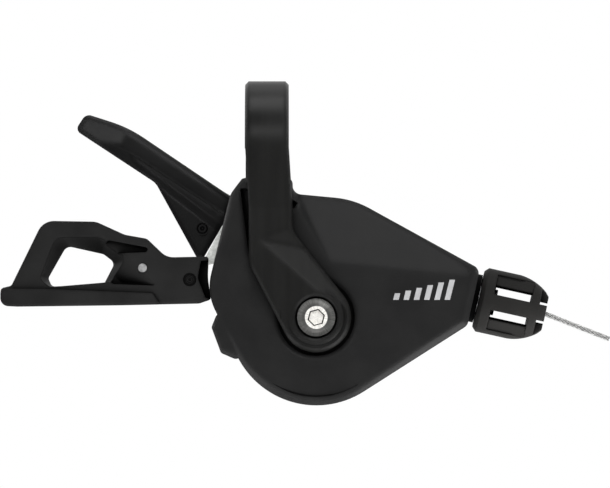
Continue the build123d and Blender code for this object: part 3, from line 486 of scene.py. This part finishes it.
def addWire(s):
    setBack, arcLength = wireBend(s)
    start = -s["circle"] * math.radians(s["wrap"])
    end = s["run"] + s["stub"] - 2 * setBack + arcLength
    laid = end - s["strandLength"]
    coreEnd = end - s["coreShort"]
    coreRadius = (s["radius"] - s["strandRadius"]) * mm
    bm = bmesh.new()
    whole = [(c, side, up) for _, c, side, up in wireStations(s, start, laid, s["coreStep"])]
    addTube(bm, whole, lambda _: s["radius"] * mm, s["sides"])
    core = [(c, side, up) for _, c, side, up in wireStations(s, laid, coreEnd, s["coreStep"])]
    addTube(bm, core, lambda _: coreRadius, s["coreSides"])
    for k in range(s["strands"]):
        strand = []
        for along, centre, side, up in wireStations(s, laid, end, s["strandStep"]):
            t = 2 * math.pi * (k / s["strands"] + (along - laid) / s["lay"])
            out = side * math.cos(t) + up * math.sin(t)
            strand.append((centre + out * coreRadius, side, up))
        addTube(bm, strand, lambda _: s["strandRadius"] * mm, s["strandSides"])
    wire = meshPiece("strandedWire", bm, "gearWire", "housing")
    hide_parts("inner_cable")
    return wire


addWire(wireSetup)
print("gear wire laid")


# round marks left by the moulding tool on the two levers, and the seam by the cover's lower rim, as thin
# near-black tubes that paint the shade in their grooves
marks = {
    "coverSeam": {
        "node": "top_cover", "body": "housing", "slot": "black_nylon", "at": (0.0, 0.0), "inset": 0.05,
        "rings": ((18.05, 0.13, 230, 302),),  # radius, thickness, from and to in degrees
    },
    "mainLeverMark": {
        "node": "main_lever_pad", "body": "main_lever", "slot": "lever_nylon", "at": (-26.4, 20.4),
        "inset": 0.8,
        "rings": ((1.13, 0.18, 0, 360), (0.36, 0.18, 0, 360), (1.75, 0.10, 245, 320)),
    },
    "releaseLeverMark": {
        "node": "release_lever_pad", "body": "release_lever", "slot": "lever_nylon", "at": (-29.0, 8.6),
        "inset": 0.8,
        "rings": ((1.34, 0.18, 0, 360), (1.00, 0.10, 0, 360), (0.66, 0.10, 0, 360), (0.22, 0.14, 0, 360)),
    },
}


markTube = {
    "ringSteps": 40,
    "arcSteps": 24,
    "sides": 8,
    "fade": 0.3,  # share of an open arc over which it runs out thin
    "thinnest": 0.35,
}


def runOut(f, closed, t):
    if closed:
        return 1.0
    return max(t["thinnest"], min(1.0, f / t["fade"], (1 - f) / t["fade"]))


def addMark(name, s, t):
    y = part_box(s["node"])[0].y + s["inset"] * mm
    bm = bmesh.new()
    for radius, thick, start, end in s["rings"]:
        whole = end - start == 360
        count = t["ringSteps"] if whole else t["arcSteps"]
        path = []
        for k in range(count):
            angle = math.radians(start + (end - start) * k / (count if whole else count - 1))
            out = Vector((math.cos(angle), 0, math.sin(angle)))
            path.append((fromAxle(*s["at"], y) + out * radius * mm, out, Vector((0, 1, 0))))
        addTube(bm, path, lambda f: thick * mm * runOut(f, whole, t), t["sides"], closed=whole)
    return meshPiece(name, bm, "markShadeBlack", s["body"])


for name, s in marks.items():
    addMark(name, s, markTube)
print("mould marks and seam:", len(marks))


# a row of rising bars printed on the cover
barsSetup = {
    "count": 6,
    "left": 17.6,
    "foot": 4.0,
    "pitch": 2.35,
    "width": 1.25,
    "lowest": 1.5,
    "rise": 0.62,
    "slant": 14.0,
    "thick": 0.04,
    "sink": 0.02,
}


def addBars(s):
    bm = bmesh.new()
    lean = math.tan(math.radians(s["slant"]))
    foot = coverFront + s["sink"] * mm
    toFront = Vector((0, -(s["thick"] + s["sink"]) * mm, 0))
    for k in range(s["count"]):
        left = s["left"] + k * s["pitch"]
        high = s["lowest"] + k * s["rise"]
        corners = [(0, 0), (s["width"], 0), (s["width"] + high * lean, high), (high * lean, high)]
        back = [bm.verts.new(fromAxle(left + u, s["foot"] + w, foot)) for u, w in corners]
        front = [bm.verts.new(v.co + toFront) for v in back]
        bm.faces.new(front)
        bm.faces.new(list(reversed(back)))
        for i in range(4):
            j = (i + 1) % 4
            bm.faces.new((front[j], front[i], back[i], back[j]))
    return meshPiece("printedBars", bm, "silverInk", "housing", smooth=False)


addBars(barsSetup)
print("cover printed")


# shallow floors in the knob's four windows, from the rails in to the slits
scoopSetup = {
    "start": 38.8,  # along the wire, from the drum
    "end": 47.6,
    "web": 1.85,
    "railInner": 6.4,
    "railDepth": 3.5,
    "slit": 3.95,
    "slitDepth": 4.9,
}


def addScoops(s):
    fall = math.radians(wireSetup["fall"])
    along = Vector((math.cos(fall), 0, -math.sin(fall)))
    across = Vector((math.sin(fall), 0, math.cos(fall)))
    toBack = Vector((0, 1, 0))
    middle = fromAxle(0, 0, wireSetup["level"] * mm) + across * wireSetup["circle"] * mm
    bm = bmesh.new()
    for side in (-1, 1):
        for deep in (-1, 1):
            section = [
                (s["railInner"], s["railDepth"]), (s["railInner"], s["web"]), (s["slit"], s["web"]),
                (s["slit"], s["slitDepth"]),
            ]
            ends = []
            for reach in (s["start"], s["end"]):
                foot = middle + along * reach * mm
                ends.append([
                    bm.verts.new(foot + (across * side * out + toBack * deep * back) * mm)
                    for out, back in section
                ])
            bm.faces.new(ends[0])
            bm.faces.new(ends[1])
            for i in range(4):
                j = (i + 1) % 4
                bm.faces.new((ends[0][i], ends[0][j], ends[1][j], ends[1][i]))
    return meshPiece("knobScoops", bm, "knobBlack", "adjuster", smooth=False)


addScoops(scoopSetup)
print("knob windows floored")


# camera and light

cameraSetup = {
    "imageSize": (610, 488),
    "mmPerPixel": 0.23,
    "originPixel": (267, 143),  # where the clamp's centre falls in the picture
    "distance": 1.6,
    "sensor": 36.0,
    "clipEnd": 20.0,
}


def addCamera(s):
    width, height = s["imageSize"]
    x = (width / 2 - s["originPixel"][0]) * s["mmPerPixel"] * mm
    z = (s["originPixel"][1] - height / 2) * s["mmPerPixel"] * mm
    data = bpy.data.cameras.new("productCamera")
    data.sensor_width = s["sensor"]
    data.lens = s["sensor"] * s["distance"] / (width * s["mmPerPixel"] * mm)
    data.clip_end = s["clipEnd"]
    camera = bpy.data.objects.new("productCamera", data)
    camera.location = (x, -s["distance"], z)
    camera.rotation_euler = (math.radians(90), 0, 0)
    bpy.context.scene.collection.objects.link(camera)
    bpy.context.scene.camera = camera


productMiddle = (0.01, 0.0, -0.03)  # where the lamps aim
lamps = {
    "overheadSoftbox": {"at": (0.00, -0.15, 0.75), "size": (0.70, 0.40), "watts": 5.5},
    "frontSoftbox": {"at": (0.12, -1.00, 0.40), "size": (0.60, 0.25), "watts": 3.8},
    "leftSoftbox": {"at": (-0.98, -0.58, 0.10), "size": (0.30, 0.70), "watts": 2.4},
    "rightSoftbox": {"at": (0.85, -0.35, 0.10), "size": (0.30, 0.60), "watts": 1.2},
    "armCard": {"at": (0.35, -0.865, 0.55), "size": (0.30, 0.16), "watts": 1.2},
    "leverCard": {"at": (-0.36, -0.98, 0.18), "size": (0.20, 0.16), "watts": 0.9},
    "lowFill": {"at": (0.01, -0.06, -0.158), "size": (0.24, 0.12), "watts": 0.30},
    "lowRightCard": {"at": (0.105, -0.012, -0.132), "size": (0.12, 0.10), "watts": 0.20},
    "lowLeftCard": {"at": (-0.095, -0.012, -0.135), "size": (0.10, 0.10), "watts": 0.08},
    "highBackSoftbox": {"at": (0.05, 0.36, 0.80), "size": (0.70, 0.40), "watts": 1.0},
    "rearLeftSoftbox": {"at": (-0.80, 0.60, 0.25), "size": (0.30, 0.50), "watts": 1.6},
    "rearRightSoftbox": {"at": (0.80, 0.60, 0.25), "size": (0.30, 0.50), "watts": 1.6},
}


def addLamp(name, s):
    data = bpy.data.lights.new(name, "AREA")
    data.shape = "RECTANGLE"
    data.size, data.size_y = s["size"]
    data.energy = s["watts"]
    lamp = bpy.data.objects.new(name, data)
    lamp.location = s["at"]
    lamp.rotation_euler = (Vector(productMiddle) - Vector(s["at"])).to_track_quat("-Z", "Y").to_euler()
    lamp.visible_camera = False
    bpy.context.scene.collection.objects.link(lamp)


stageSetup = {
    "floorDrop": 0.165,
    "floorReach": 2.0,
    "floorColour": (0.86, 0.86, 0.86, 1),
    "floorRough": 0.8,
    "ambient": 0.25,
}


def addStage(s):
    reach = s["floorReach"]
    mesh = bpy.data.meshes.new("paleFloor")
    corners = [(-reach, -reach, 0), (reach, -reach, 0), (reach, reach, 0), (-reach, reach, 0)]
    mesh.from_pydata(corners, [], [(0, 1, 2, 3)])
    floor = bpy.data.objects.new("paleFloor", mesh)
    floor.location = (0, 0, -s["floorDrop"])
    bpy.context.scene.collection.objects.link(floor)
    mat, tree, shader = newMaterial("paleFloor")
    shader.inputs["Base Color"].default_value = s["floorColour"]
    shader.inputs["Roughness"].default_value = s["floorRough"]
    mesh.materials.append(mat)

    world = bpy.data.worlds.new("whiteStudio")
    bpy.context.scene.world = world
    world.use_nodes = True
    tree = world.node_tree
    rays = tree.nodes.new("ShaderNodeLightPath")
    seen = tree.nodes.new("ShaderNodeMath")
    seen.operation = "MAXIMUM"
    shown = tree.nodes.new("ShaderNodeMath")
    shown.operation = "MAXIMUM"
    tree.links.new(rays.outputs["Is Camera Ray"], seen.inputs[0])
    tree.links.new(rays.outputs["Is Glossy Ray"], seen.inputs[1])
    tree.links.new(seen.outputs[0], shown.inputs[0])
    tree.links.new(rays.outputs["Is Transmission Ray"], shown.inputs[1])
    background = tree.nodes["Background"]
    background.inputs["Color"].default_value = (1, 1, 1, 1)
    tree.links.new(spreadOf(tree, shown.outputs[0], s["ambient"], 1.0), background.inputs["Strength"])


addCamera(cameraSetup)
for name, s in lamps.items():
    addLamp(name, s)
addStage(stageSetup)
bpy.context.scene.view_settings.view_transform = "Standard"
print("camera, lamps and floor placed")
